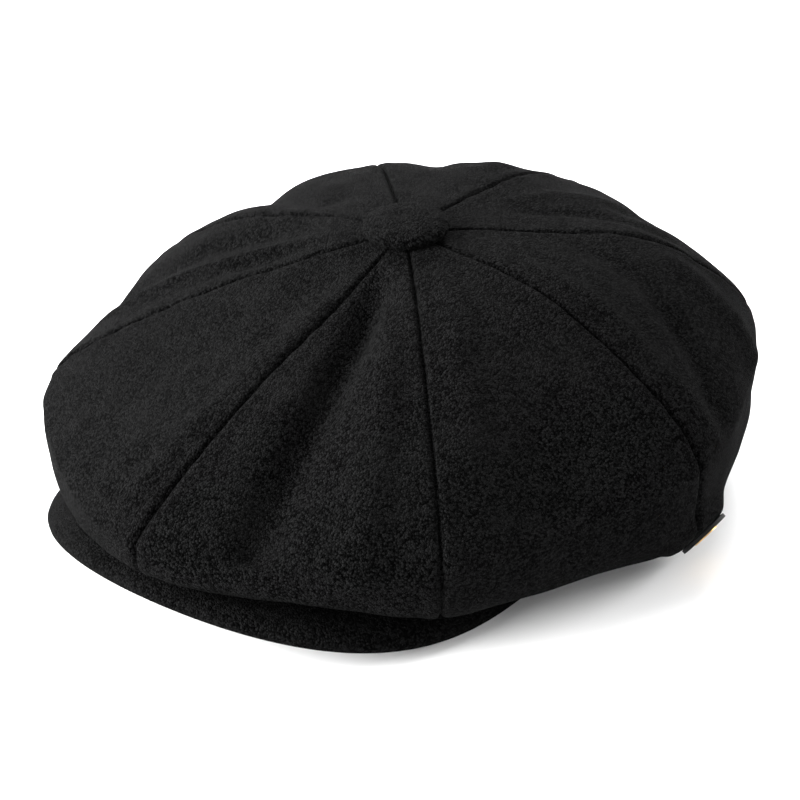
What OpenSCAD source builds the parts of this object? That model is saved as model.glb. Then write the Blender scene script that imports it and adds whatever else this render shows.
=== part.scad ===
// Newsboy cap with an eight-panel crown, a covered top button and a short stiff visor.
// Millimetres, +Z up. The origin is the centre of the head opening, on the table the cap stands on.
// The visor points towards -Y and the wearer's left side is +X.
// Angles round the crown count from the front seam towards the wearer's left.

/* [Crown] */
// Height of the crown's top above the table
crown_top = 102; // [92:1:126]
// Mean radius of the crown at its widest line
crown_r = 137; // [128:1:166]
// How much further the crown reaches over the visor than behind
crown_lean = 9.5; // [0:0.5:12]
// How much the crown gains in length at each end and loses at each side
crown_long = 4.5; // [0:0.5:10]
// Pull of the crown towards a blunt point over the visor
crown_point = 5; // [0:0.5:8]
// How far the crown slumps towards the wearer's left
crown_slump = 5; // [0:0.5:8]
// Mean height of the widest line
rim_h = 54; // [48:1:66]
// How much the widest line dips at the front and rises at the back
rim_dip = 14.5; // [0:0.5:16]
// How much the widest line rises at the front and the back alike, and dips at the sides
rim_wave = 4; // [0:0.5:6]
// How far the button sits behind the middle of the head opening
top_back = 3.5; // [0:0.5:6]
// How far each panel flattens between its seams, as a fraction of the radius
panel_flat = 0.04; // [0:0.005:0.05]
// Thickness of the wool cloth
cloth_t = 1.6; // [1:0.1:2.4]
// Width of the seam allowance pressed open on each side of a seam
allowance_w = 7; // [4:0.5:10]
// Gap between neighbouring panels along a seam
seam_gap = 0.2; // [0.1:0.05:0.5]

/* [Lining] */
// Thickness of the lining
lining_t = 0.8; // [0.5:0.1:1.2]
// Length of the bare label inside the crown
label_w = 56; // [40:1:70]
// Height of the bare label inside the crown
label_h = 30; // [20:1:40]
// Thickness of the bare labels
label_t = 0.5; // [0.3:0.1:0.8]

/* [Head opening] */
// Inside length of the head opening, front to back
head_l = 200; // [186:1:216]
// Inside width of the head opening
head_w = 168.6; // [156:0.2:182]
// Height of the sweatband
band_h = 34; // [28:1:40]
// Thickness of the sweatband
band_t = 1.4; // [1:0.1:2]
// Height of the stiffening tape behind the sweatband
tape_h = 20; // [14:1:26]
// Thickness of the stiffening tape
tape_t = 1; // [0.6:0.1:1.4]
// Width of the size tab at the back of the sweatband
tab_w = 18; // [12:1:26]
// Height of the size tab
tab_h = 14; // [8:1:20]

/* [Visor] */
// Width of the visor
visor_w = 190; // [174:1:204]
// Reach of the visor in front of its widest line
visor_reach = 115; // [100:1:130]
// Distance from the middle of the cap to the visor's widest line
visor_set = 41; // [34:1:48]
// Height of the visor's arch
visor_arch = 21.4; // [14:0.2:28]
// Thickness of the visor's stiff board
board_t = 1.6; // [1.2:0.1:2.4]
// Thickness of the cloth that covers the visor
cover_t = 1.5; // [1:0.1:2.2]

/* [Button] */
// Diameter of the top button over its cloth
button_d = 34; // [26:1:40]
// Height of the top button's dome
button_h = 6.4; // [5:0.2:9]
// Thickness of the button's metal shell
shell_t = 0.6; // [0.4:0.1:1]
// Diameter of the rivet that holds the button
rivet_d = 3; // [2:0.2:4]
// Forward lean of the button
button_lean = 4; // [0:0.5:8]

/* [Badge] */
// Diameter of the round metal badge
badge_d = 21; // [16:0.5:26]
// Thickness of the badge's plate
badge_t = 1.4; // [1:0.1:2]
// Diameter of the raised disc in the middle of the badge
badge_disc_d = 11; // [7:0.5:14]
// Angle of the badge round the crown
badge_angle = 94.5; // [94:0.5:112]
// Height of the badge between the hem and the widest line, as a fraction
badge_rise = 0.55; // [0.3:0.05:0.6]

/* [Hidden] */
PANELS = ["left_front", "left_front_side", "left_rear_side", "left_rear",
          "right_rear", "right_rear_side", "right_front_side", "right_front"];

panel_a = 360 / len(PANELS);            // angle that one panel spans
clear = 0.3;                            // clearance between layers that only lie together
visor_t = board_t + 2 * cover_t;
hem_off = band_t + clear;               // the hem and the visor's root, outside the sweatband's face
hem_lift = 1;                           // height of the crown's hem above the table behind the visor
tip_y = -25;                            // the visor's tips meet the band here
fold_len = 50;                          // length behind the tips over which the band comes down to the table
peak_mean = 2.23;                       // how full the top of the crown is
peak_swing = 1.25;                      // how much less full it is over the visor
peak_left = 0.35;                       // how much fuller it is on the slumped side
left_drop = 1.8;                        // how much lower the widest line hangs on the slumped side
drop_power = 1.5;                       // how late the top rounds down to the widest line
under_in = 0.6;                         // how the underside turns in to the hem
under_down = 0.4;
visor_power = 0.73;                     // under 1 makes the visor's front blunter than an ellipse
lining_in = 2 * cloth_t + clear;        // depth of the lining's outer face below the crown's face
lining_back = lining_in + lining_t;
label_in = lining_back + 2 * clear;
hole_r = rivet_d / 2 + 1.2;             // the panels stop short of the rivet
panel_rows = 9;                         // rows of facets above the widest line, and below it
fold_edge_a = 0.7;                      // angle over which the allowance's edge steps down
cloth = [0.09, 0.09, 0.095];
satin = [0.13, 0.13, 0.14];
steel = [0.72, 0.72, 0.73];
gold = [0.83, 0.6, 0.25];

// ---- the crown's form ----

// Radius of the widest line at angle a
function rim_r(a) =
    (crown_r + crown_lean * cos(a) + crown_long * cos(2 * a) + crown_point * cos(3 * a)
     + crown_slump * sin(a))
    * (1 + panel_flat * (0.4 - pow(sin(len(PANELS) / 2 * a), 2)));

// Height of the widest line at angle a
function rim_z(a) = rim_h - rim_dip * cos(a) + rim_wave * cos(2 * a) - left_drop * sin(a);

// Radius of the head opening at angle a, off millimetres outside its inner face
function head_r(a, off) =
    1 / sqrt(pow(cos(a) / (head_l / 2 + off), 2) + pow(sin(a) / (head_w / 2 + off), 2));

// Height of the visor's lower face at x, and how far it is felt at y
function arch_z(x) = visor_arch * max(0, 1 - pow(x / (visor_w / 2), 2));
function ease(q) = q * q * (3 - 2 * q);
function arch_share(y) = ease(min(1, max(0, (tip_y + fold_len - y) / fold_len)));

// Height of the band's lower edge and of the crown's hem at angle a
function edge_z(a) =
    let (r = head_r(a, hem_off), share = arch_share(-r * cos(a)))
    arch_z(r * sin(a)) * share;
function hem_z(a) =
    let (share = arch_share(-head_r(a, hem_off) * cos(a)))
    edge_z(a) + (visor_t + clear) * share + hem_lift * (1 - share);

// Fullness of the top at angle a: over 2 is boxy, under 2 runs straight down
function full_m(a) = peak_mean - peak_swing * cos(a) + peak_left * sin(a);

// Upper profile from the rivet's hole (s = 0) to the widest line (s = 1)
function first_u(a) = asin(pow(hole_r / rim_r(a), full_m(a) / 2));
function upper_u(a, s) = first_u(a) + (90 - first_u(a)) * (1 - pow(1 - s, 0.7));
function upper_pt(a, s) =
    let (u = upper_u(a, s))
    [rim_r(a) * pow(sin(u), 2 / full_m(a)),
     rim_z(a) + (crown_top - rim_z(a)) * pow(max(0, cos(u)), drop_power)];

// Lower profile from the widest line (s = 0) to the hem (s = 1)
function lower_u(s) = 90 * pow(s, 2) / (pow(s, 2) + pow(1 - s, 1.5));
function lower_pt(a, s) =
    let (u = lower_u(s), r = head_r(a, hem_off))
    [r + (rim_r(a) - r) * pow(max(0, cos(u)), under_in),
     rim_z(a) - (rim_z(a) - hem_z(a)) * pow(sin(u), under_down)];

// Point of the crown's face: s runs 0 at the hole, 1 at the widest line, 2 at the hem
function profile(a, s) = s <= 1 ? upper_pt(a, s) : lower_pt(a, min(2, s) - 1);
function place(a, r, z, back) = [r * sin(a), back - r * cos(a), z];
function setback(a, s) = s >= 1 ? 0 : top_back * (1 - profile(a, s)[0] / rim_r(a));
function face_pt(a, s) = let (p = profile(a, s)) place(a, p[0], p[1], setback(a, s));

// Outward normal of the crown's face
function step_in(s) = s < 0.04 ? [0, 0.08] : s > 1.96 ? [-0.08, 0] : [-0.04, 0.04];
function normal(a, s) =
    let (h = step_in(s),
         along = face_pt(a, s + h[1]) - face_pt(a, s + h[0]),
         round_it = face_pt(a + 1, s) - face_pt(a - 1, s),
         n = cross(along, round_it))
    n / norm(n);

// Point d millimetres inside the face, in the upright plane at angle a, outside the head opening
function inner_pt(a, s, d) =
    let (h = step_in(s),
         along = profile(a, s + h[1]) - profile(a, s + h[0]),
         p = profile(a, s) + d * [along[1], -along[0]] / norm(along),
         r = s > 1 ? max(p[0], head_r(a, hem_off)) : max(p[0], hole_r))
    place(a, r, p[1], setback(a, s));

// ---- closed sheets ----

// Quads of one face of a grid, as triangles; flip turns them over
function grid_faces(first, rows, cols, flip) =
    [for (i = [0 : rows - 2], j = [0 : cols - 2])
        let (p = first + i * cols + j, q = p + cols)
        each (flip ? [[p, q + 1, q], [p, p + 1, q + 1]] : [[p, q, q + 1], [p, q + 1, p + 1]])];

// Walls that join the edges of two grids
function wall_faces(loop, second) =
    [for (k = [0 : len(loop) - 1])
        let (p = loop[k], q = loop[(k + 1) % len(loop)])
        each [[p, q, q + second], [p, q + second, p + second]]];

function edge_loop(rows, cols) =
    concat([for (j = [0 : cols - 1]) j],
           [for (i = [1 : rows - 1]) i * cols + cols - 1],
           [for (j = [1 : cols - 1]) rows * cols - 1 - j],
           [for (i = [1 : rows - 2]) (rows - 1 - i) * cols]);

// Closed sheet between two grids of points with the same number of rows
module sheet(outer, inner) {
    rows = len(outer);
    cols = len(outer[0]);
    points = concat([for (row = outer) each row], [for (row = inner) each row]);
    faces = concat(grid_faces(0, rows, cols, false),
                   grid_faces(rows * cols, rows, cols, true),
                   wall_faces(edge_loop(rows, cols), rows * cols));
    polyhedron(points, faces, convexity = 6);
}

// Steps of s down a panel, with n spans above the widest line and n below
function steps(n) = [for (i = [0 : 2 * n]) i / n];

// Angles of the two edges of panel k, half a seam gap inside its seams
gap_a = seam_gap / 2 / crown_r * 180 / PI;
function first_a(k) = k * panel_a + gap_a;
function last_a(k) = (k + 1) * panel_a - gap_a;

// One wool panel between two seams, thicker where its allowances lie pressed open
module crown_panel(k) {
    a0 = first_a(k);
    a1 = last_a(k);
    fold_a = allowance_w / crown_r * 180 / PI;
    b0 = a0 + fold_a + fold_edge_a;     // single cloth lies between b0 and b1
    b1 = a1 - fold_a - fold_edge_a;
    spans = 6;
    middle = [for (i = [0 : spans]) b0 + (b1 - b0) * i / spans];
    angles = concat([a0, a0 + fold_a], middle, [a1 - fold_a, a1]);
    last = len(angles) - 1;
    depths = [for (j = [0 : last]) j < 2 || j > last - 2 ? 2 * cloth_t : cloth_t];
    color(cloth)
        sheet([for (s = steps(panel_rows)) [for (a = angles) face_pt(a, s)]],
              [for (s = steps(panel_rows)) [for (j = [0 : last]) inner_pt(angles[j], s, depths[j])]]);
}

// One lining panel behind a wool panel
module lining_panel(k) {
    spans = 9;
    angles = [for (j = [0 : spans]) first_a(k) + (last_a(k) - first_a(k)) * j / spans];
    color(satin)
        sheet([for (s = steps(panel_rows)) [for (a = angles) inner_pt(a, s, lining_in)]],
              [for (s = steps(panel_rows)) [for (a = angles) inner_pt(a, s, lining_back)]]);
}

// ---- head opening ----

// Closed band round the head opening between two offsets, from its lower to its upper edge
module band_ring(near, far, low, high, a0, a1, n) {
    whole = a1 - a0 == 360;
    angles = [for (j = [0 : whole ? n - 1 : n]) a0 + (a1 - a0) * j / n];
    cols = len(angles);
    corners = [[near, low], [far, low], [far, high], [near, high]];
    points = [for (corner = corners, a = angles)
        let (r = head_r(a, corner[0]))
        [r * sin(a), -r * cos(a), edge_z(a) + corner[1]]];
    skin = [for (side = [0 : 3], j = [0 : n - 1])
        let (this = side * cols,
             next = (side + 1) % 4 * cols,
             k = (j + 1) % cols)
        each [[this + j, next + k, next + j], [this + j, this + k, next + k]]];
    ends = whole ? [] : [[0, cols, 2 * cols, 3 * cols],
                         [4 * cols - 1, 3 * cols - 1, 2 * cols - 1, cols - 1]];
    polyhedron(points, concat(skin, ends), convexity = 4);
}

ring_spans = 72;

module sweatband() {
    color([0.1, 0.1, 0.1]) band_ring(0, band_t, 0, band_h, 0, 360, ring_spans);
}

// Stiff tape that stands on the lining's hem behind the sweatband
module band_tape() {
    low = visor_t + clear + lining_back + clear;
    color([0.8, 0.78, 0.72])
        band_ring(hem_off, hem_off + tape_t, low, low + tape_h, 0, 360, ring_spans);
}

// Folded tab sewn to the sweatband's face at the back
tab_drop = 6;
tab_gap = 0.2;

module size_tab() {
    half_a = tab_w / head_l * 180 / PI;
    top = band_h - tab_drop;
    color([0.85, 0.85, 0.83])
        band_ring(-label_t - tab_gap, -tab_gap, top - tab_h, top, 180 - half_a, 180 + half_a, 4);
}

// Bare woven label on the lining, under the crown's top at the back
module crown_label() {
    s0 = 1 / 3;                         // far enough from the button to lie flat
    s1 = s0 + label_h / crown_r;
    half_a = label_w / 2 / profile(180, s0)[0] * 180 / PI;
    rows = [for (i = [0 : 4]) s0 + (s1 - s0) * i / 4];
    angles = [for (j = [0 : 8]) 180 + half_a * (j / 4 - 1)];
    color([0.16, 0.16, 0.17])
        sheet([for (s = rows) [for (a = angles) inner_pt(a, s, label_in)]],
              [for (s = rows) [for (a = angles) inner_pt(a, s, label_in + label_t)]]);
}

// ---- visor ----

// Outline of the visor drawn in by d, with tips that run back to the head opening
module visor_outline(d) {
    end_y = tip_y - 2 * d;
    tip_x = (head_w / 2 + hem_off) * sqrt(1 - pow(end_y / (head_l / 2 + hem_off), 2)) + 0.01;
    half = visor_w / 2 - d;
    tail = [for (t = [90 : -15 : 15])
        [tip_x + (half - tip_x) * cos(t), -visor_set + (visor_set + end_y) * sin(t)]];
    outer = [for (t = [0 : 5 : 180])
        [half * cos(t), -visor_set - (visor_reach - d) * pow(sin(t), visor_power)]];
    back = [for (p = [len(tail) - 1 : -1 : 0]) [-tail[p][0], tail[p][1]]];
    polygon(concat(tail, outer, back));
}

// Outline of everything inside the visor's root
module head_outline() {
    polygon([for (a = [0 : 3 : 357])
        let (r = head_r(a, hem_off))
        [r * sin(a), -r * cos(a)]]);
}

// Arched layer between two heights above the visor's lower face
module arched_layer(low, high) {
    half = visor_w / 2 + 2;
    xs = [for (i = [-20 : 20]) half * i / 20];
    rotate([90, 0, 0])
        linear_extrude(height = visor_set + visor_reach + 10)
            polygon(concat([for (x = xs) [x, arch_z(x) + high]],
                           [for (i = [len(xs) - 1 : -1 : 0]) [xs[i], arch_z(xs[i]) + low]]));
}

// Upright prism on the visor's outline, taller than the visor
module visor_plan(d) {
    translate([0, 0, -5])
        linear_extrude(height = visor_arch + visor_t + 10)
            difference() {
                visor_outline(d);
                head_outline();
            }
}

// A flat-cut layer of the visor
module visor_layer(d, low, high) {
    intersection() {
        visor_plan(d);
        arched_layer(low, high);
    }
}

// The top cover turns down round the board and the under cover
module visor_top_cover() {
    color(cloth) difference() {
        visor_layer(0, 0, visor_t);
        visor_layer(cover_t, -1, visor_t - cover_t);
    }
}

module visor_board() {
    color([0.75, 0.72, 0.66]) visor_layer(cover_t, cover_t, cover_t + board_t);
}

module visor_under_cover() {
    color(cloth) visor_layer(cover_t, 0, cover_t);
}

// ---- button ----

button_z = crown_top + clear;

module at_button() {
    translate([0, top_back, button_z]) rotate([button_lean, 0, 0]) children();
}

// Domed disc with a short upright edge: radius r, height h
module dome(r, h) {
    rise = h * 0.7;
    bulge = (r * r + rise * rise) / (2 * rise);
    rotate_extrude($fn = 64)
        intersection() {
            translate([0, h - bulge]) circle(r = bulge, $fn = 180);
            square([r, h]);
        }
}

module button_cover() {
    r = button_d / 2;
    color(cloth) at_button() difference() {
        dome(r, button_h);
        translate([0, 0, -0.01]) dome(r - cloth_t, button_h - cloth_t);
    }
}

module button_shell() {
    r = button_d / 2 - cloth_t - 0.1;
    h = button_h - cloth_t - 0.1;
    color(steel) at_button() difference() {
        dome(r, h);
        translate([0, 0, -0.01]) dome(r - shell_t, h - shell_t);
    }
}

plate_r = button_d / 2 - cloth_t - shell_t - 0.2;
plate_t = 0.8;

module button_back_plate() {
    color(steel) at_button() difference() {
        cylinder(h = plate_t, r = plate_r, $fn = 64);
        translate([0, 0, -1]) cylinder(h = plate_t + 2, d = rivet_d + 0.1, $fn = 32);
    }
}

// Rivet from the back plate down through the crown and lining to its washer
rivet_len = lining_back + 3.2;
washer_d = 12;

module button_rivet() {
    color(steel) at_button() union() {
        translate([0, 0, plate_t + 0.05]) cylinder(h = 1, d = rivet_d * 2, $fn = 32);
        translate([0, 0, -rivet_len]) cylinder(h = rivet_len + plate_t + 0.1, d = rivet_d, $fn = 32);
        translate([0, 0, -rivet_len - 0.6]) cylinder(h = 0.7, d = rivet_d * 1.7, $fn = 32);
    }
}

module button_washer() {
    color(steel) at_button() translate([0, 0, -rivet_len + 0.1]) difference() {
        cylinder(h = 0.8, d = washer_d, $fn = 48);
        translate([0, 0, -1]) cylinder(h = 3, d = rivet_d + 0.1, $fn = 32);
    }
}

// ---- badge ----

badge_s = 2 - badge_rise;
badge_n = normal(badge_angle, badge_s);
post_r = 0.6;
post_out = 5.5;                         // distance of each post from the badge's middle
post_len = lining_back + 3.8;
clutch_r = 2.4;
inlay = 0.5;                            // depth of the recess that holds the enamel and the disc
rim_w = 0.8;

// The badge's frame: +Z out of the crown's face, X along the widest line
module at_badge() {
    c = face_pt(badge_angle, badge_s) + badge_n * (clear + 0.5);
    tilt = acos(badge_n[2]);
    turn = atan2(badge_n[1], badge_n[0]);
    translate(c) rotate([0, tilt, turn]) rotate([0, 0, 90]) children();
}

module badge_posts(r, from, to) {
    for (side = [-1, 1])
        translate([side * post_out, 0, from]) cylinder(h = to - from, r = r, $fn = 24);
}

module badge_plate() {
    color(steel) at_badge() difference() {
        union() {
            cylinder(h = badge_t, d = badge_d, $fn = 64);
            badge_posts(post_r, -post_len, 0.2);
        }
        translate([0, 0, badge_t - inlay]) cylinder(h = 1, d = badge_d - 2 * rim_w, $fn = 64);
    }
}

module badge_enamel() {
    color([0.03, 0.03, 0.035]) at_badge()
        translate([0, 0, badge_t - inlay]) difference() {
            cylinder(h = 0.4, d = badge_d - 2 * rim_w, $fn = 64);
            translate([0, 0, -1]) cylinder(h = 3, d = badge_disc_d, $fn = 64);
        }
}

module badge_disc() {
    color(gold) at_badge()
        translate([0, 0, badge_t - inlay]) cylinder(h = 1.1, d = badge_disc_d, $fn = 64);
}

module badge_clutches() {
    color(gold) at_badge() difference() {
        for (side = [-1, 1])
            translate([side * post_out, 0, -post_len - 0.4]) cylinder(h = 1.6, r = clutch_r, $fn = 32);
        badge_posts(post_r + 0.05, -post_len - 0.1, 0);
    }
}

// Wool panels with holes for the badge's posts
module wool(k) {
    if (k == floor(badge_angle / panel_a))
        difference() {
            crown_panel(k);
            at_badge() badge_posts(post_r + 0.1, -post_len - 4, 2);
        }
    else
        crown_panel(k);
}

module lining(k) {
    if (k == floor(badge_angle / panel_a))
        difference() {
            lining_panel(k);
            at_badge() badge_posts(post_r + 0.1, -post_len - 4, 2);
        }
    else
        lining_panel(k);
}

for (k = [0 : len(PANELS) - 1]) {
    wool(k);
    lining(k);
}
sweatband();
band_tape();
size_tab();
crown_label();
visor_top_cover();
visor_under_cover();
visor_board();
button_cover();
button_shell();
button_back_plate();
button_rivet();
button_washer();
badge_plate();
badge_enamel();
badge_disc();
badge_clutches();
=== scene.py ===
import math
import bpy
import numpy as np
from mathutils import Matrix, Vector


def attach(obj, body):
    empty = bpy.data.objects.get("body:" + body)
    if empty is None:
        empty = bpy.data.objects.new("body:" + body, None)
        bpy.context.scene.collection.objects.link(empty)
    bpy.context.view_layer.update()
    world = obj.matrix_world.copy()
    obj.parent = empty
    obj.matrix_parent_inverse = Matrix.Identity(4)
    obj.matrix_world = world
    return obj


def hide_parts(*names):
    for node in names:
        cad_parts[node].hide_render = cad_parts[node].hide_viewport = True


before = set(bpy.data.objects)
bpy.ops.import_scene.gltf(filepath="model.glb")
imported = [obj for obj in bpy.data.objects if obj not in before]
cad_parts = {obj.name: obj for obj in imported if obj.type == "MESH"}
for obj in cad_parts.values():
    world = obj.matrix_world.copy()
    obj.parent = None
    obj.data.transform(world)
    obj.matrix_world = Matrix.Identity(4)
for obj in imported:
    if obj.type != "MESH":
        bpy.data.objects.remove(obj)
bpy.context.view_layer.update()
mm = 0.001
quarter = math.pi / 2
smoothAngle = math.radians(60)
print("frame loaded")

panelNames = ["left_front", "left_front_side", "left_rear_side", "left_rear",
              "right_rear", "right_rear_side", "right_front_side", "right_front"]


# ---- small helpers ----

def ease(q):
    q = np.clip(q, 0, 1)
    return q * q * (3 - 2 * q)


def bell(d, width):
    return np.exp(-(d / width) ** 2)


def deselectAll():
    if bpy.context.object and bpy.context.object.mode != "OBJECT":
        bpy.ops.object.mode_set(mode="OBJECT")
    bpy.ops.object.select_all(action="DESELECT")


def pick(piece):
    deselectAll()
    piece.select_set(True)
    bpy.context.view_layer.objects.active = piece


def readPoints(piece):
    points = np.zeros(len(piece.data.vertices) * 3)
    piece.data.vertices.foreach_get("co", points)
    return points.reshape(-1, 3)


def writePoints(piece, points):
    piece.data.vertices.foreach_set("co", np.asarray(points, float).ravel())
    piece.data.update()


def addGrid(name, columns, rows, shape, uvSize):
    # a flat grid, bent by shape(across, down), which gives millimetres
    deselectAll()
    bpy.ops.mesh.primitive_grid_add(x_subdivisions=columns, y_subdivisions=rows, size=1)
    piece = bpy.context.object
    piece.name = name
    piece.data.name = name
    flat = readPoints(piece)
    writePoints(piece, shape(flat[:, 0] + 0.5, 0.5 - flat[:, 1]) * mm)
    uv = piece.data.uv_layers[0].data
    values = np.zeros(len(uv) * 2)
    uv.foreach_get("uv", values)
    uv.foreach_set("uv", (values.reshape(-1, 2) * np.array(uvSize)).ravel())
    return piece


def mergePoints(piece, distance):
    pick(piece)
    bpy.ops.object.mode_set(mode="EDIT")
    bpy.ops.mesh.select_all(action="SELECT")
    bpy.ops.mesh.remove_doubles(threshold=distance)
    bpy.ops.object.mode_set(mode="OBJECT")


def thicken(piece, thickness):
    # the wall goes inwards, behind the face that shows
    pick(piece)
    solid = piece.modifiers.new("wall", "SOLIDIFY")
    solid.thickness = thickness * mm
    solid.offset = -1
    bpy.ops.object.modifier_apply(modifier=solid.name)


def smooth(piece):
    pick(piece)
    bpy.ops.object.shade_smooth_by_angle(angle=smoothAngle)


def finishPiece(piece, material, node):
    piece.data.materials.clear()
    piece.data.materials.append(material)
    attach(piece, "root")
    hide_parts(node)


def runAlong(points):
    # how far along a line of points each one lies
    steps = np.linalg.norm(np.diff(points, axis=0), axis=1)
    return np.r_[0, np.cumsum(steps)]


def outward(turn, rise):
    # the way out from the middle, turn degrees round from the front and rise degrees up
    a, e = math.radians(turn), math.radians(rise)
    return Vector((math.sin(a) * math.cos(e), -math.cos(a) * math.cos(e), math.sin(e)))


def ripples(points, wavelength, seed):
    # smooth random swells with a steady wavelength, the same on every run
    count = 28
    rng = np.random.default_rng(seed)
    way = rng.normal(size=(count, 3))
    way *= (2 * math.pi / wavelength) / np.linalg.norm(way, axis=1)[:, None]
    way *= rng.uniform(0.7, 1.3, (count, 1))
    phase = rng.uniform(0, 2 * math.pi, count)
    return np.cos(points @ way.T + phase).sum(axis=1) * math.sqrt(2 / count)


# ---- material maths ----

class Value:
    # a socket that can be used in Python expressions
    def __init__(self, maker, socket):
        self.maker = maker
        self.socket = socket

    def sum(self, kind, other, turned=False):
        pair = (other, self) if turned else (self, other)
        return self.maker.add("ShaderNodeMath", {"operation": kind}, {0: pair[0], 1: pair[1]})

    def __add__(self, other):
        return self.sum("ADD", other)

    def __radd__(self, other):
        return self.sum("ADD", other, True)

    def __sub__(self, other):
        return self.sum("SUBTRACT", other)

    def __rsub__(self, other):
        return self.sum("SUBTRACT", other, True)

    def __mul__(self, other):
        return self.sum("MULTIPLY", other)

    def __rmul__(self, other):
        return self.sum("MULTIPLY", other, True)


class Finish:
    # one material, its nodes and its shader
    def __init__(self, name, constants):
        self.material = bpy.data.materials.new(name)
        self.material.use_nodes = True
        self.tree = self.material.node_tree
        self.shader = self.tree.nodes["Principled BSDF"]
        for key, value in constants.items():
            self.shader.inputs[key].default_value = value

    def add(self, kind, settings=None, inputs=None, output=0):
        node = self.tree.nodes.new(kind)
        for key, value in (settings or {}).items():
            if key == "stops":
                self.setStops(node.color_ramp, value)
            else:
                setattr(node, key, value)
        for key, value in (inputs or {}).items():
            self.give(node.inputs[key], value)
        return Value(self, node.outputs[output])

    def give(self, socket, value):
        if isinstance(value, Value):
            self.tree.links.new(value.socket, socket)
        else:
            socket.default_value = value

    def setStops(self, ramp, stops):
        while len(ramp.elements) > 1:
            ramp.elements.remove(ramp.elements[0])
        for i, (place, shade) in enumerate(stops):
            element = ramp.elements[0] if i == 0 else ramp.elements.new(place)
            element.position = place
            element.color = (shade, shade, shade, 1)

    def place(self):
        return self.add("ShaderNodeTexCoord", output="Object")

    def cloud(self, where, scale, detail=2.0, roughness=0.5, distortion=0.0):
        return self.add("ShaderNodeTexNoise", None,
                        {"Vector": where, "Scale": scale, "Detail": detail,
                         "Roughness": roughness, "Distortion": distortion})

    def ramp(self, value, stops):
        return self.add("ShaderNodeValToRGB", {"stops": stops}, {"Fac": value})

    def blend(self, share, first, second):
        node = self.add("ShaderNodeMix", {"data_type": "RGBA"}, {0: share}, 2)
        self.give(node.socket.node.inputs[6], first)
        self.give(node.socket.node.inputs[7], second)
        return node

    def bump(self, height, distance):
        normal = self.add("ShaderNodeBump", None,
                          {"Height": height, "Distance": distance, "Strength": 1.0})
        self.give(self.shader.inputs["Normal"], normal)

    def colour(self, value):
        self.give(self.shader.inputs["Base Color"], value)

    def roughness(self, value):
        self.give(self.shader.inputs["Roughness"], value)


def grey(shade, warm=0.0):
    return (shade * (1 + warm), shade, shade * (1 - warm), 1)


# ---- finishes ----

wool = {
    "pit": grey(0.0002, -0.02), "knot": grey(0.0072, -0.01), "worn": grey(0.0075),
    "grain": 1350.0, "fibre": 2900.0, "grainHeight": 0.0008,
    "sheen": 0.006, "sheenRoughness": 0.4, "sheenTint": grey(0.6),
    "wander": 1160.0, "clump": 567.0, "patch": 42.0,
    "shadeStops": [(0.54, 0.0), (1.02, 1.0)], "wornStops": [(0.5, 0.0), (0.72, 0.5)],
}
satin = {"weave": 620.0, "slub": 160.0, "dark": 0.72, "light": 1.35, "height": 0.00012}
ribbed = {"fibre": 1500.0, "dark": 0.6, "light": 1.4, "height": 0.0003}
metal = {"scratch": 900.0, "stain": 120.0, "tarnish": 0.72,
         "stainStops": [(0.35, 0.0), (0.7, 0.8)], "height": 0.00003}
glaze = {"cloud": 240.0, "dark": grey(0.006), "light": grey(0.016), "height": 0.00002}
pressed = {"pulp": 380.0, "fleck": 1400.0, "dark": grey(0.34, 0.12), "light": grey(0.6, 0.08),
           "stops": [(0.35, 0.0), (0.65, 1.0)], "height": 0.0002}


def makeWool():
    f = Finish("melton_wool", {
        "Specular IOR Level": 0.01, "Sheen Weight": wool["sheen"],
        "Sheen Roughness": wool["sheenRoughness"], "Sheen Tint": wool["sheenTint"]})
    where = f.place()
    wander = f.cloud(where, wool["wander"], 1.0)
    knots = {"Vector": where, "Scale": wool["grain"]}
    round_ = f.add("ShaderNodeTexVoronoi", {"feature": "F1"}, knots)
    tone = f.add("ShaderNodeTexVoronoi", {"feature": "F1"}, knots, 1)
    clump = f.cloud(where, wool["clump"], 1.0)
    fibre = f.cloud(where, wool["fibre"], 1.0)
    patch = f.cloud(where, wool["patch"], 2.0, 0.5)
    grain = 1 - round_
    height = grain * 0.7 + tone * 0.35 + clump * 0.1
    shade = f.ramp(tone * 0.7 + grain * 0.35 + clump * 0.08 + wander * 0.1 + fibre * 0.2,
                   wool["shadeStops"])
    base = f.blend(shade, wool["pit"], wool["knot"])
    f.colour(f.blend(f.ramp(patch * 0.5 + fibre * 0.5, wool["wornStops"]), base, wool["worn"]))
    f.roughness(0.86 + grain * 0.12)
    f.bump(height, wool["grainHeight"])
    return f.material


def makeSatin(name, shade, warm):
    f = Finish(name, {"Specular IOR Level": 0.5, "Sheen Weight": 0.1, "Sheen Roughness": 0.4})
    where = f.place()
    weave = f.add("ShaderNodeTexWave", {"wave_type": "BANDS", "bands_direction": "DIAGONAL"},
                  {"Vector": where, "Scale": satin["weave"], "Distortion": 1.2, "Detail": 2.0})
    slub = f.cloud(where, satin["slub"], 2.0)
    f.colour(f.blend(slub * 0.6 + weave * 0.4, grey(shade * satin["dark"], warm),
                     grey(shade * satin["light"], warm)))
    f.roughness(0.34 + slub * 0.2)
    f.bump(weave * 0.6 + slub * 0.4, satin["height"])
    return f.material


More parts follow.
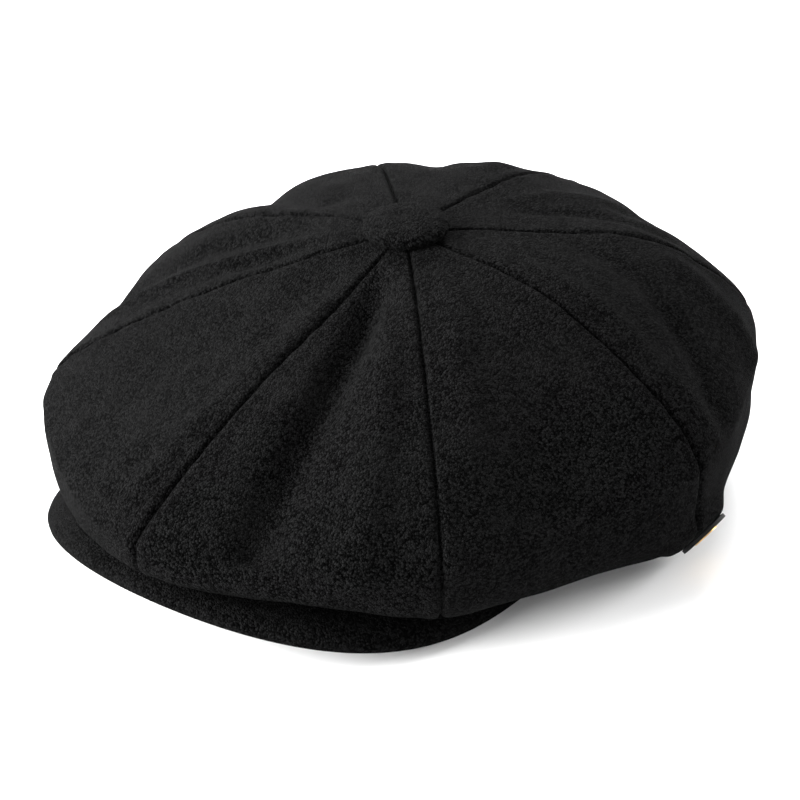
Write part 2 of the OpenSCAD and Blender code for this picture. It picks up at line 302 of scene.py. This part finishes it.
def makeRibbed(name, shade, ribs, warm=0.0):
    # ribs run across the band: its UV map counts metres along and up
    f = Finish(name, {"Specular IOR Level": 0.3, "Sheen Weight": 0.12, "Sheen Roughness": 0.5})
    along = f.add("ShaderNodeUVMap")
    parts = f.add("ShaderNodeSeparateXYZ", None, {0: along})
    wave = f.add("ShaderNodeMath", {"operation": "SINE"}, {0: parts * (2 * math.pi * ribs)})
    fibre = f.cloud(f.place(), ribbed["fibre"], 2.0)
    f.colour(f.blend(wave * 0.35 + 0.3 + fibre * 0.3, grey(shade * ribbed["dark"], warm),
                     grey(shade * ribbed["light"], warm)))
    f.roughness(0.7 + fibre * 0.15)
    f.bump(wave * 0.7 + fibre * 0.3, ribbed["height"])
    return f.material


def makeMetal(name, tone, rough):
    f = Finish(name, {"Metallic": 1.0})
    where = f.place()
    scratch = f.cloud(where, metal["scratch"], 3.0, 0.6, 3.0)
    stain = f.cloud(where, metal["stain"], 2.0)
    dark = tuple(c * metal["tarnish"] for c in tone[:3]) + (1,)
    f.colour(f.blend(f.ramp(stain, metal["stainStops"]), tone, dark))
    f.roughness(rough + scratch * 0.14)
    f.bump(scratch, metal["height"])
    return f.material


def makeEnamel():
    f = Finish("dark_enamel", {"Specular IOR Level": 0.1})
    cloudy = f.cloud(f.place(), glaze["cloud"], 2.0)
    f.colour(f.blend(cloudy, glaze["dark"], glaze["light"]))
    f.roughness(0.5 + cloudy * 0.12)
    f.bump(cloudy, glaze["height"])
    return f.material


def makeBoard():
    f = Finish("pressed_board", {"Specular IOR Level": 0.25})
    where = f.place()
    pulp = f.cloud(where, pressed["pulp"], 4.0, 0.65)
    fleck = f.cloud(where, pressed["fleck"], 2.0)
    f.colour(f.blend(f.ramp(pulp * 0.7 + fleck * 0.3, pressed["stops"]),
                     pressed["dark"], pressed["light"]))
    f.roughness(0.8 + fleck * 0.1)
    f.bump(pulp, pressed["height"])
    return f.material


woolCloth = makeWool()
liningSatin = makeSatin("lining_satin", 0.02, -0.03)
labelSatin = makeSatin("label_satin", 0.05, -0.02)
tabSatin = makeSatin("tab_satin", 0.62, 0.03)
grosgrain = makeRibbed("grosgrain", 0.016, 900.0)
tapeCotton = makeRibbed("tape_cotton", 0.5, 620.0, 0.06)
steel = makeMetal("plated_steel", (0.62, 0.61, 0.6, 1), 0.24)
gold = makeMetal("gold_plate", (0.9, 0.6, 0.25, 1), 0.36)
enamel = makeEnamel()
board = makeBoard()
print("finishes made")


# ---- the crown's form, in millimetres and radians ----

head = {"length": 200.0, "width": 168.6, "hemOut": 1.7}
arch = {"height": 21.4, "half": 95.0, "tipY": -25.0, "foldLength": 50.0, "thick": 4.9}
form = {
    "radius": (137.24, 9.35, 4.74, 5.19), "slump": 4.99, "twist": -0.56,
    "flat": 0.0364, "top": 102.07, "back": 3.34,
    "rim": (54.09, -14.35, 4.03), "rimSlump": -1.79,
    "full": (2.226, -1.246, 0.351), "drop": (1.328, 0.026),
    "underIn": 0.602, "underDown": 0.405,
}
seamAngles = [2.29, 43.63, 89.48, 134.41, 181.42, 223.84, 269.38, 310.77]


def headRadius(a, off):
    return 1 / np.sqrt((np.cos(a) / (head["length"] / 2 + off)) ** 2
                       + (np.sin(a) / (head["width"] / 2 + off)) ** 2)


def archHeight(x):
    return arch["height"] * np.clip(1 - (x / arch["half"]) ** 2, 0, 1)


def archShare(y):
    return ease((arch["tipY"] + arch["foldLength"] - y) / arch["foldLength"])


def hemHeight(a):
    r = headRadius(a, head["hemOut"])
    share = archShare(-r * np.cos(a))
    return (archHeight(r * np.sin(a)) + arch["thick"]) * share + 1 - share


def bandHeight(a):
    r = headRadius(a, head["hemOut"])
    return archHeight(r * np.sin(a)) * archShare(-r * np.cos(a))


def rimRadius(a):
    terms = sum(c * np.cos(i * a) for i, c in enumerate(form["radius"]))
    terms = terms + form["slump"] * np.sin(a) + form["twist"] * np.sin(2 * a)
    return terms * (1 + form["flat"] * (0.4 - np.sin(4 * a) ** 2))


def fullness(a):
    return form["full"][0] + form["full"][1] * np.cos(a) + form["full"][2] * np.sin(a)


def formPoint(a, u):
    # a turns from the front seam to the wearer's left; u is 0 at the button, pi/2 at the widest line
    radius = rimRadius(a)
    rim = sum(c * np.cos(i * a) for i, c in enumerate(form["rim"])) + form["rimSlump"] * np.sin(a)
    full = fullness(a)
    drop = form["drop"][0] + form["drop"][1] * np.cos(a)
    s = np.clip(np.sin(u), 1e-9, 1)
    c = np.abs(np.cos(u))
    hem = headRadius(a, head["hemOut"])
    upper = u < quarter
    r = np.where(upper, radius * s ** (2 / full), hem + (radius - hem) * s ** form["underIn"])
    z = np.where(upper, rim + (form["top"] - rim) * c ** (2 / drop),
                 rim - (rim - hemHeight(a)) * c ** form["underDown"])
    back = form["back"] * (1 - np.minimum(1, r / radius)) * upper
    return np.stack([r * np.sin(a), back - r * np.cos(a), z], axis=-1)


def formNormal(a, u):
    # from short steps down and round, kept off the button's pole and the hem
    step, pole, hem, hemRound = 0.006, 0.004, 0.02, 0.05
    above = formPoint(a, np.maximum(u - step, pole))
    down = formPoint(a, np.minimum(u + step, math.pi - hem)) - above
    low = np.minimum(u, math.pi - hemRound)
    round_ = formPoint(a + step, low) - formPoint(a - step, low)
    n = np.cross(down, round_)
    return n / np.maximum(np.linalg.norm(n, axis=1), 1e-12)[:, None]


# folds: (degrees down, degrees round) along the fold, width and height in millimetres
folds = [
    {"line": ((16, 21), (37, 20), (57, 19), (74, 18.5), (94, 18.5)), "width": (4.5, 12), "height": -6.8},
    {"line": ((22, 33), (38, 33), (53, 33), (69, 33), (100, 32)), "width": (5, 14), "height": 3.0},
    {"line": ((44, 38), (50, 37.5), (64, 37), (72, 36.5)), "width": (3, 4), "height": -0.45},
    {"line": ((24, -4), (38, -3.5), (55, -3), (84, -2.5)), "width": (4, 6), "height": 1.3},
    {"line": ((10, 68), (17, 64), (35, 53), (52, 49.5), (64, 49)), "width": (4, 8), "height": 1.2},
    {"line": ((30, 66), (60, 64), (88, 62)), "width": (12, 26), "height": -1.6},
    {"line": ((10, 103), (14, 101), (51, 94.5), (90, 95)), "width": (4, 7), "height": 1.8},
    {"line": ((12, 126), (20, 123), (42, 110), (65, 100), (84, 99)), "width": (5, 9), "height": -2.4},
    {"line": ((30, 129), (53, 124.5), (74, 120), (96, 118)), "width": (6, 9), "height": 1.8},
    {"line": ((8, 168), (20, 165), (35, 159.5), (60, 156)), "width": (3, 8), "height": 1.2},
    {"line": ((8, 159), (11, 157), (29, 144.5), (50, 140)), "width": (3, 8), "height": -1.8},
    {"line": ((16, -68), (31, -66), (66, -62), (84, -60)), "width": (3, 4), "height": 1.9},
    {"line": ((22, -80), (44, -76), (68, -72), (88, -70)), "width": (5, 10), "height": -3.0},
    {"line": ((24, -59), (47, -57), (64, -56)), "width": (3, 4), "height": -0.8},
    {"line": ((12, -118), (26, -106), (44, -108), (80, -108)), "width": (6, 15), "height": -4.6},
    {"line": ((22, -152), (44, -150), (84, -154)), "width": (6, 13), "height": -2.4},
    {"line": ((20, -170), (46, -166), (96, -165)), "width": (6, 12), "height": 1.8},
    {"line": ((26, 150), (56, 158), (92, 160)), "width": (7, 14), "height": -1.6},
]
relief = {
    "crease": -1.4, "creaseWidth": 0.8, "shoulder": 0.32, "shoulderAt": 3.4, "shoulderWidth": 2.2,
    "pucker": 0.16, "puckerLength": 10.0, "puckerReach": 7.0,
    "swell": 0.55, "swellLength": 60.0, "fine": 0.14, "fineLength": 17.0,
    "swellSeed": 5, "fineSeed": 9, "puckerSeed": 13, "foldTaper": 0.22,
    "calm": 14, "calmFade": 30, "creaseFade": 20, "hemFade": 1.1, "tableGap": 0.2,
    "badgeBack": 1.45, "badgeGap": 0.15, "badgeFlat": 8.0, "badgeFade": 17.0, "badgeReach": 3.5,
}


def badgePlane():
    # the middle of the badge's back and its outward axis, from its round disc
    points = readPoints(bpy.data.objects["badge_disc"]) / mm
    middle = points.mean(axis=0)
    axis = np.linalg.svd(points - middle, full_matrices=False)[2][2]
    axis *= np.sign(axis[0])
    return middle - axis * relief["badgeBack"], axis


badgeMiddle, badgeAxis = badgePlane()


def foldHeight(a, u, radius):
    total = np.zeros_like(a)
    down = np.degrees(u)
    for fold in folds:
        line = np.array(fold["line"], float)
        middle = np.radians(np.interp(down, line[:, 0], line[:, 1]))
        width = np.interp(down, line[[0, -1], 0], fold["width"])
        turn = (a - middle + math.pi) % (2 * math.pi) - math.pi
        reach = relief["foldTaper"] * (line[-1, 0] - line[0, 0])
        taper = ease((down - line[0, 0]) / reach) * ease((line[-1, 0] - down) / reach)
        total += fold["height"] * taper * bell(turn * radius, width)
    return total


def seamDistance(a, radius):
    turns = [np.abs((a - math.radians(s) + math.pi) % (2 * math.pi) - math.pi) for s in seamAngles]
    return np.min(turns, axis=0) * radius


def crownPoint(a, u, depth, seams):
    # the cloth's face, or a point depth millimetres behind it
    base = formPoint(a, u)
    normal = formNormal(a, u)
    radius = np.hypot(base[:, 0], base[:, 1] - form["back"] * (u < quarter))
    away = seamDistance(a, radius)
    inner = ease((radius - relief["calm"]) / relief["calmFade"])
    lift = foldHeight(a, u, radius)
    lift += inner * (relief["swell"] * ripples(base, relief["swellLength"], relief["swellSeed"])
                     + seams * relief["fine"] * ripples(base, relief["fineLength"], relief["fineSeed"]))
    pucker = ripples(base, relief["puckerLength"], relief["puckerSeed"])
    pucker *= np.exp(-away / relief["puckerReach"])
    lift += seams * inner * relief["pucker"] * pucker
    lift += seams * relief["shoulder"] * inner * bell(away - relief["shoulderAt"], relief["shoulderWidth"])
    creased = np.minimum(1, radius / relief["creaseFade"])
    lift += seams * relief["crease"] * creased * bell(away, relief["creaseWidth"])
    lift *= ease((math.pi - u) / relief["hemFade"])
    point = base + normal * (lift - depth)[:, None]
    # the cloth lies flat behind the badge
    apart = point - badgeMiddle
    off = apart @ badgeAxis
    near = np.linalg.norm(apart - off[:, None] * badgeAxis, axis=1)
    close = 1 - ease((np.abs(off) - relief["badgeReach"]) / relief["badgeReach"])
    held = 1 - ease((near - relief["badgeFlat"]) / relief["badgeFade"])
    point += badgeAxis * (close * held * (-off - depth - relief["badgeGap"]))[:, None]
    # nothing goes inside the head opening
    under = u > quarter
    r = np.hypot(point[:, 0], point[:, 1])
    least = headRadius(a, head["hemOut"])
    push = np.where(under & (r < least), least / np.maximum(r, 1e-6), 1)
    point[:, :2] *= push[:, None]
    point[:, 2] = np.maximum(point[:, 2], relief["tableGap"] + depth)
    return point


goreRows = {"rim": 0.62, "upper": 0.72, "nearRim": 2.0, "nearHem": 1.5,
            "eye": 4.0, "shortfall": 0.005, "leastRadius": 8}


def evenDown(down, start, end):
    # rows about the same distance apart from the button to the hem
    rim = goreRows["rim"]
    upper = (1 - (1 - np.minimum(down / rim, 1)) ** goreRows["upper"]) * quarter
    s = np.clip((down - rim) / (1 - rim), 0, 1)
    near = s ** goreRows["nearRim"]
    lower = near / (near + (1 - s) ** goreRows["nearHem"] + 1e-12) * quarter
    return start + (end - start) * (upper + lower) / math.pi


def gore(k, depth, seams, crowd, gap):
    # one panel between two seams, with its columns crowded at its edges
    first = math.radians(seamAngles[k])
    last = math.radians(seamAngles[(k + 1) % 8] + (360 if k == 7 else 0))
    middle = np.array([(first + last) / 2])
    # every panel's point reaches in to the rivet
    start = math.asin((goreRows["eye"] / rimRadius(middle)[0]) ** (fullness(middle)[0] / 2))
    # an inner layer stops short of the hem, behind the band
    end = math.pi - goreRows["shortfall"] * depth

    def shape(across, down):
        u = evenDown(down, start, end)
        across = (1 - crowd) * across + crowd * ease(across)
        base = formPoint(np.full_like(u, middle[0]), u)
        small = gap / np.maximum(np.hypot(base[:, 0], base[:, 1]), goreRows["leastRadius"])
        a = first + small + (last - first - 2 * small) * across
        return crownPoint(a, u, depth, seams)
    return shape


panelUv = (0.107, 0.24)
crownPanels = {"columns": 72, "rows": 176, "thickness": 1.6, "crowd": 0.72, "gap": 0.02,
               "flat": (0.122, 0.252), "area": 0.0168}

for k, name in enumerate(panelNames):
    piece = addGrid(f"wool_{name}", crownPanels["columns"], crownPanels["rows"],
                    gore(k, 0.0, 1.0, crownPanels["crowd"], crownPanels["gap"]), panelUv)
    thicken(piece, crownPanels["thickness"])
    smooth(piece)
    finishPiece(piece, woolCloth, f"{name}_panel")
print("crown panels made")


# the lining's panels lap a little at their seams
liningPanels = {"columns": 26, "rows": 70, "depth": 3.9, "thickness": 0.6, "crowd": 0.3, "gap": -0.12,
                "belly": 1.2, "wave": 0.5, "waveTurns": 19, "waveSlant": 3, "bellyEnd": 1.15,
                "slackTo": 0.8, "flat": (0.116, 0.246), "area": 0.0155}


def liningShape(k):
    facts = liningPanels
    shape = gore(k, facts["depth"], 0.0, facts["crowd"], facts["gap"])

    def slack(across, down):
        # satin hangs in shallow puckers between its seams
        point = shape(across, down)
        reach = np.clip(down * facts["bellyEnd"], 0, 1)
        belly = np.sin(math.pi * across) * np.sin(math.pi * reach)
        phase = across * facts["waveTurns"] + facts["waveSlant"] * down
        wave = facts["wave"] * np.sin(phase) * np.sin(math.pi * down)
        point[:, 2] -= belly * (facts["belly"] + wave) * (down < facts["slackTo"])
        return point
    return slack


for k, name in enumerate(panelNames):
    piece = addGrid(f"satin_{name}", liningPanels["columns"], liningPanels["rows"],
                    liningShape(k), panelUv)
    thicken(piece, liningPanels["thickness"])
    smooth(piece)
    finishPiece(piece, liningSatin, f"{name}_lining")
print("lining made")


# ---- bands round the head opening ----

def ringShape(profile):
    # a closed cross-section of (outwards, up) carried round the head opening
    corners = np.array(profile + profile[:1], float)
    run = runAlong(corners)

    def shape(across, down):
        a = across * 2 * math.pi
        out = np.interp(down * run[-1], run, corners[:, 0])
        up = np.interp(down * run[-1], run, corners[:, 1])
        r = headRadius(a, out)
        return np.stack([r * np.sin(a), -r * np.cos(a), bandHeight(a) + up], axis=-1)
    return shape


def roundedStrip(near, far, low, high, lean=0.0):
    # cross-section of a strip with rolled edges, its top leaning inwards
    r = (far - near) / 2
    middle = (near + far) / 2
    tall = high - low - 2 * r
    sideSteps, capSteps = 14, 6
    side = [(far - lean * t, low + r + tall * t) for t in np.linspace(0, 1, sideSteps)]
    back = [(near - lean * t, low + r + tall * t) for t in np.linspace(1, 0, sideSteps)]
    cap = [(middle - lean + r * math.cos(t), high - r + r * math.sin(t))
           for t in np.linspace(0.3, 2.84, capSteps)]
    foot = [(middle + r * math.cos(t), low + r + r * math.sin(t))
            for t in np.linspace(3.44, 5.98, capSteps)]
    return side + cap + back + foot


mergeWithin = 0.00001
sweatband = {"near": 0.0, "far": 1.4, "low": 0.0, "high": 34.0, "lean": 0.5,
             "columns": 360, "rows": 96, "uv": (0.582, 0.072)}
band = addGrid("band_grosgrain", sweatband["columns"], sweatband["rows"],
               ringShape(roundedStrip(sweatband["near"], sweatband["far"], sweatband["low"],
                                      sweatband["high"], sweatband["lean"])), sweatband["uv"])
mergePoints(band, mergeWithin)
smooth(band)
finishPiece(band, grosgrain, "sweatband")

stiffener = {"near": 1.8, "far": 2.7, "low": 9.6, "high": 29.6,
             "columns": 300, "rows": 60, "uv": (0.588, 0.042)}
tape = addGrid("band_stiffener", stiffener["columns"], stiffener["rows"],
               ringShape(roundedStrip(stiffener["near"], stiffener["far"], stiffener["low"],
                                      stiffener["high"])), stiffener["uv"])
mergePoints(tape, mergeWithin)
smooth(tape)
finishPiece(tape, tapeCotton, "band_tape")

sizeTab = {"width": 18, "radius": 100, "inset": 0.4, "thickness": 0.25,
           "fold": [(-0.15, 14), (-0.15, 28), (-0.5, 28.3), (-0.85, 28), (-0.85, 14.5), (-0.5, 14.2)]}


def tabShape(across, down):
    # folded tab, flat on the band at the back
    a = math.pi + (across - 0.5) * sizeTab["width"] / sizeTab["radius"]
    profile = np.array(sizeTab["fold"])
    run = runAlong(profile)
    out = np.interp(down * run[-1], run, profile[:, 0])
    up = np.interp(down * run[-1], run, profile[:, 1])
    r = headRadius(a, out - sizeTab["inset"])
    return np.stack([r * np.sin(a), -r * np.cos(a), up], axis=-1)


tab = addGrid("size_tab_folded", 24, 60, tabShape, (0.018, 0.03))
thicken(tab, sizeTab["thickness"])
smooth(tab)
finishPiece(tab, tabSatin, "size_tab")


crownLabel = {"width": 56, "height": 30, "at": 181, "radius": 85, "from": 30, "spread": 26.4,
              "depth": 5.4, "edgeRise": 0.35, "edgeFade": 1.5, "stitch": 0.2, "stitchAt": 2.6,
              "stitchWidth": 0.5, "thickness": 0.4, "uv": (0.056, 0.03)}


def labelShape(across, down):
    # bare woven label under the crown's top, its edges turned in and stitched
    facts = crownLabel
    a = math.radians(facts["at"]) + (across - 0.5) * facts["width"] / facts["radius"]
    u = np.radians(facts["from"] + facts["spread"] * down)
    edge = np.minimum(np.minimum(across, 1 - across) * facts["width"],
                      np.minimum(down, 1 - down) * facts["height"])
    rise = facts["edgeRise"] * ease(edge / facts["edgeFade"])
    rise -= facts["stitch"] * bell(edge - facts["stitchAt"], facts["stitchWidth"])
    return crownPoint(a, u, facts["depth"] + rise, 0.0)


label = addGrid("label_bare", 60, 40, labelShape, crownLabel["uv"])
thicken(label, -crownLabel["thickness"])
smooth(label)
finishPiece(label, labelSatin, "crown_label")
print("bands and labels made")


# ---- visor ----

visor = {"set": 41.0, "reach": 115.0, "power": 0.73, "tall": 4.6, "seamAt": 1.2,
         "roundLow": 0.9, "cloth": 1.3, "columns": 260, "rowsTop": 70, "rowsUnder": 80,
         "flatTop": 0.72, "flatUnder": 0.6, "tipRoom": 6, "samples": 800, "curveSteps": 400,
         "tailSteps": 30, "swell": 0.22, "swellLength": 34.0, "swellSeed": 21, "uv": (0.3, 0.12)}


def evenLine(points, count):
    run = runAlong(points)
    at = np.linspace(0, run[-1], count)
    return np.stack([np.interp(at, run, points[:, i]) for i in (0, 1)], axis=1)


def visorEdge(count):
    # the visor's outline, the line where it is sewn on, and the way out at each point
    end = arch["tipY"]
    hem = head["hemOut"]
    tipX = (head["width"] / 2 + hem) * math.sqrt(1 - (end / (head["length"] / 2 + hem)) ** 2)
    t = np.linspace(quarter, 0, visor["tailSteps"])[:-1]
    tail = np.stack([tipX + (arch["half"] - tipX) * np.cos(t),
                     -visor["set"] + (visor["set"] + end) * np.sin(t)], axis=1)
    t = np.linspace(0, math.pi, visor["curveSteps"])
    front = np.stack([arch["half"] * np.cos(t),
                      -visor["set"] - visor["reach"] * np.sin(t) ** visor["power"]], axis=1)
    back = tail[::-1] * np.array([-1, 1])
    edge = evenLine(np.concatenate([tail, front, back]), count)
    tipA = math.atan2(tipX, -end)
    a = np.linspace(tipA, -tipA, visor["curveSteps"])
    r = headRadius(a, hem)
    root = evenLine(np.stack([r * np.sin(a), -r * np.cos(a)], axis=1), count)
    along = np.gradient(edge, axis=0)
    along /= np.linalg.norm(along, axis=1)[:, None]
    out = np.stack([-along[:, 1], along[:, 0]], axis=1)
    return edge, root, out


visorLines = visorEdge(visor["samples"])


def alongVisor(line, across):
    at = across * (visor["samples"] - 1)
    return np.stack([np.interp(at, np.arange(visor["samples"]), line[:, i]) for i in (0, 1)], axis=1)


def visorShape(profile, share):
    # profile: (inwards from the edge, up) points past the flat part, from its rim to the seam
    steps = np.array(profile, float)
    run = runAlong(steps)

    def shape(across, down):
        e, b, o = [alongVisor(line, across) for line in visorLines]
        o /= np.linalg.norm(o, axis=1)[:, None]
        flat = np.clip(down / share, 0, 1)[:, None]
        roll = np.clip((down - share) / (1 - share), 0, 1) * run[-1]
        inset = np.interp(roll, run, steps[:, 0])
        up = np.interp(roll, run, steps[:, 1])
        # the rolled edge shrinks to nothing at the tips, where edge and root meet
        width = np.linalg.norm(e - b, axis=1)
        room = np.minimum(1, width / visor["tipRoom"])
        rim = e - o * (steps[0, 0] * room)[:, None]
        lip = e - o * (inset * room)[:, None]
        xy = np.where((down <= share)[:, None], b + (rim - b) * flat, lip)
        z = archHeight(np.clip(xy[:, 0], -arch["half"], arch["half"])) + up
        return np.column_stack([xy, z])
    return shape


def arcPoints(inset, height, radius, start, stop, count):
    # points on a quarter round, inset and height being its centre
    return [(inset - radius * math.cos(t), height + radius * math.sin(t))
            for t in np.linspace(start, stop, count)]


def visorTopProfile():
    # the cloth rolls over the board's edge, then turns in at the edge seam
    tall, low = visor["tall"], visor["seamAt"]
    roll = [(7.5, 0.0), (5.8, 0.1), (4.2, 0.34), (2.8, 0.72), (1.7, 1.18), (0.8, 1.72), (0.2, 2.3)]
    bend = [(inset, tall - drop) for inset, drop in roll]
    return bend + [(0.0, low + 0.7), (0.12, low + 0.35), (0.45, low + 0.08), (1.1, low)]


def visorLowProfile():
    # the under cover comes round the edge from below to the same seam
    r = visor["roundLow"]
    bend = arcPoints(r + 0.25, r, r, -quarter, 0, 7)
    top = visor["seamAt"]
    return [(12.0, 0.0)] + bend + [(0.35, top - 0.3), (0.6, top - 0.08), (1.2, top)]


visorTop = addGrid("visor_wool_top", visor["columns"], visor["rowsTop"],
                   visorShape(visorTopProfile(), visor["flatTop"]), visor["uv"])
# cloth over the board is never quite flat
topPoints = readPoints(visorTop)
topPoints[:, 2] += visor["swell"] * mm * ripples(topPoints / mm, visor["swellLength"], visor["swellSeed"])
writePoints(visorTop, topPoints)
thicken(visorTop, visor["cloth"])
smooth(visorTop)
finishPiece(visorTop, woolCloth, "visor_top_cover")


visorBelow = visorShape(visorLowProfile(), visor["flatUnder"])


def underShape(across, down):
    # turned about, so that its face points down
    return visorBelow(1 - across, down)


visorUnder = addGrid("visor_wool_under", visor["columns"], visor["rowsUnder"], underShape, visor["uv"])
thicken(visorUnder, visor["cloth"])
# the wall's tight inner corner stays above the cloth's face
underPoints = readPoints(visorUnder)
underFace = archHeight(np.clip(underPoints[:, 0] / mm, -arch["half"], arch["half"])) * mm
underPoints[:, 2] = np.maximum(underPoints[:, 2], underFace)
writePoints(visorUnder, underPoints)
smooth(visorUnder)
finishPiece(visorUnder, woolCloth, "visor_under_cover")
print("visor made")


# ---- button ----

button = {"radius": 17.0, "height": 6.4, "lean": 4.0, "up": 102.3, "back": 3.5, "cloth": 1.2,
          "segments": 144, "rings": 96, "cutAt": -0.3, "waist": 0.28, "shoulder": 0.9, "dome": 0.82,
          "tuckDown": 1.5, "tuckIn": 0.35, "crimp": 0.012, "crimps": 22, "crimpWander": 0.8,
          "swell": 0.12, "swellLength": 9.0, "swellSeed": 31}


def makeButton():
    deselectAll()
    bpy.ops.mesh.primitive_uv_sphere_add(segments=button["segments"], ring_count=button["rings"], radius=1)
    cover = bpy.context.object
    cover.name = "button_wool"
    cover.data.name = "button_wool"
    bpy.ops.object.mode_set(mode="EDIT")
    bpy.ops.mesh.select_all(action="SELECT")
    bpy.ops.mesh.bisect(plane_co=(0, 0, button["cutAt"]), plane_no=(0, 0, 1), clear_inner=True)
    bpy.ops.object.mode_set(mode="OBJECT")
    p = readPoints(cover)
    turn = np.arctan2(p[:, 1], p[:, 0])
    down = np.arccos(np.clip(p[:, 2], -1, 1)) / quarter
    top = np.minimum(down, 1) * quarter
    under = np.clip(down - 1, 0, 1)
    radius, height, waist = button["radius"], button["height"], button["waist"]
    r = radius * np.sin(top) ** button["shoulder"]
    z = height * np.cos(top) ** button["dome"] * (1 - waist) + height * waist
    z = np.where(down > 1, height * (waist - button["tuckDown"] * under), z)
    r = np.where(down > 1, radius * (1 - button["tuckIn"] * under), r)
    gathers = np.sin(turn * button["crimps"] + button["crimpWander"] * np.sin(turn * 3))
    crimp = 1 + button["crimp"] * ease((down - 0.5) * 2) * gathers
    points = np.stack([r * crimp * np.cos(turn), r * crimp * np.sin(turn), z], axis=1)
    swell = ripples(points, button["swellLength"], button["swellSeed"])
    points[:, 2] += button["swell"] * swell * ease(1.2 - down)
    lean = math.radians(button["lean"])
    y = points[:, 1] * math.cos(lean) - points[:, 2] * math.sin(lean)
    z = points[:, 1] * math.sin(lean) + points[:, 2] * math.cos(lean)
    points = np.stack([points[:, 0], y + button["back"], z + button["up"]], axis=1)
    writePoints(cover, points * mm)
    thicken(cover, button["cloth"])
    smooth(cover)
    return cover


buttonCover = makeButton()
finishPiece(buttonCover, woolCloth, "button_cover")
print("button made")


# ---- finishes on the CAD's own hard parts ----

for nodeName, material in {
        "visor_board": board, "button_shell": steel, "button_back_plate": steel,
        "button_rivet": steel, "button_washer": steel, "badge_plate": enamel,
        "badge_enamel": enamel, "badge_disc": gold, "badge_clutches": gold}.items():
    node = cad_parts[nodeName]
    if not node.material_slots:
        node.data.materials.append(material)
    for materialSlot in node.material_slots:
        materialSlot.material = material


# ---- floor, light and camera ----

studio = {"floor": grey(0.9), "floorSize": 12, "floorAt": -0.0002, "worldLight": 0.88,
          "lamps": [  # name, degrees round, degrees up, metres away, size, power
              ("window", 325, 24, 2.0, 1.2, 140.0),
              ("left", 262, 25, 2.0, 1.0, 60.0),
              ("rear", 205, 34, 2.0, 1.0, 48.0),
              ("rearRight", 145, 22, 2.0, 0.8, 36.0),
              ("frontLow", 338, 7, 2.0, 0.9, 20.0)]}

deselectAll()
bpy.ops.mesh.primitive_plane_add(size=studio["floorSize"], location=(0, 0, studio["floorAt"]))
floor = bpy.context.object
floor.name = "floor"
floorFinish = Finish("pale_floor", {"Roughness": 0.9, "Specular IOR Level": 0.1})
floorFinish.colour(studio["floor"])
floor.data.materials.append(floorFinish.material)

world = bpy.data.worlds.new("studio")
bpy.context.scene.world = world
world.use_nodes = True
background = world.node_tree.nodes["Background"]
background.inputs["Color"].default_value = grey(1.0)
background.inputs["Strength"].default_value = studio["worldLight"]


def addSoftLight(name, turn, rise, distance, size, power):
    place = distance * outward(turn, rise)
    lamp = bpy.data.lights.new(name, "AREA")
    lamp.shape = "DISK"
    lamp.size = size
    lamp.energy = power
    lampObject = bpy.data.objects.new(name, lamp)
    bpy.context.scene.collection.objects.link(lampObject)
    lampObject.location = place
    lampObject.rotation_euler = (-place).to_track_quat("-Z", "Y").to_euler()
    lampObject.visible_camera = False


for lampFacts in studio["lamps"]:
    addSoftLight(*lampFacts)

camera = {"turn": 37.999, "height": 29.799, "distance": 0.8,
          "target": (0.024148, -0.031092, 0.05084), "lens": 94.4445, "sensor": 36}
cameraData = bpy.data.cameras.new("camera")
cameraData.lens = camera["lens"]
cameraData.sensor_width = camera["sensor"]
cameraObject = bpy.data.objects.new("camera", cameraData)
bpy.context.scene.collection.objects.link(cameraObject)
away = outward(camera["turn"], camera["height"]) * camera["distance"]
cameraObject.location = Vector(camera["target"]) + away
cameraObject.rotation_euler = (quarter - math.radians(camera["height"]), 0, math.radians(camera["turn"]))
bpy.context.scene.camera = cameraObject
bpy.context.scene.view_settings.view_transform = "Standard"
print("studio set")
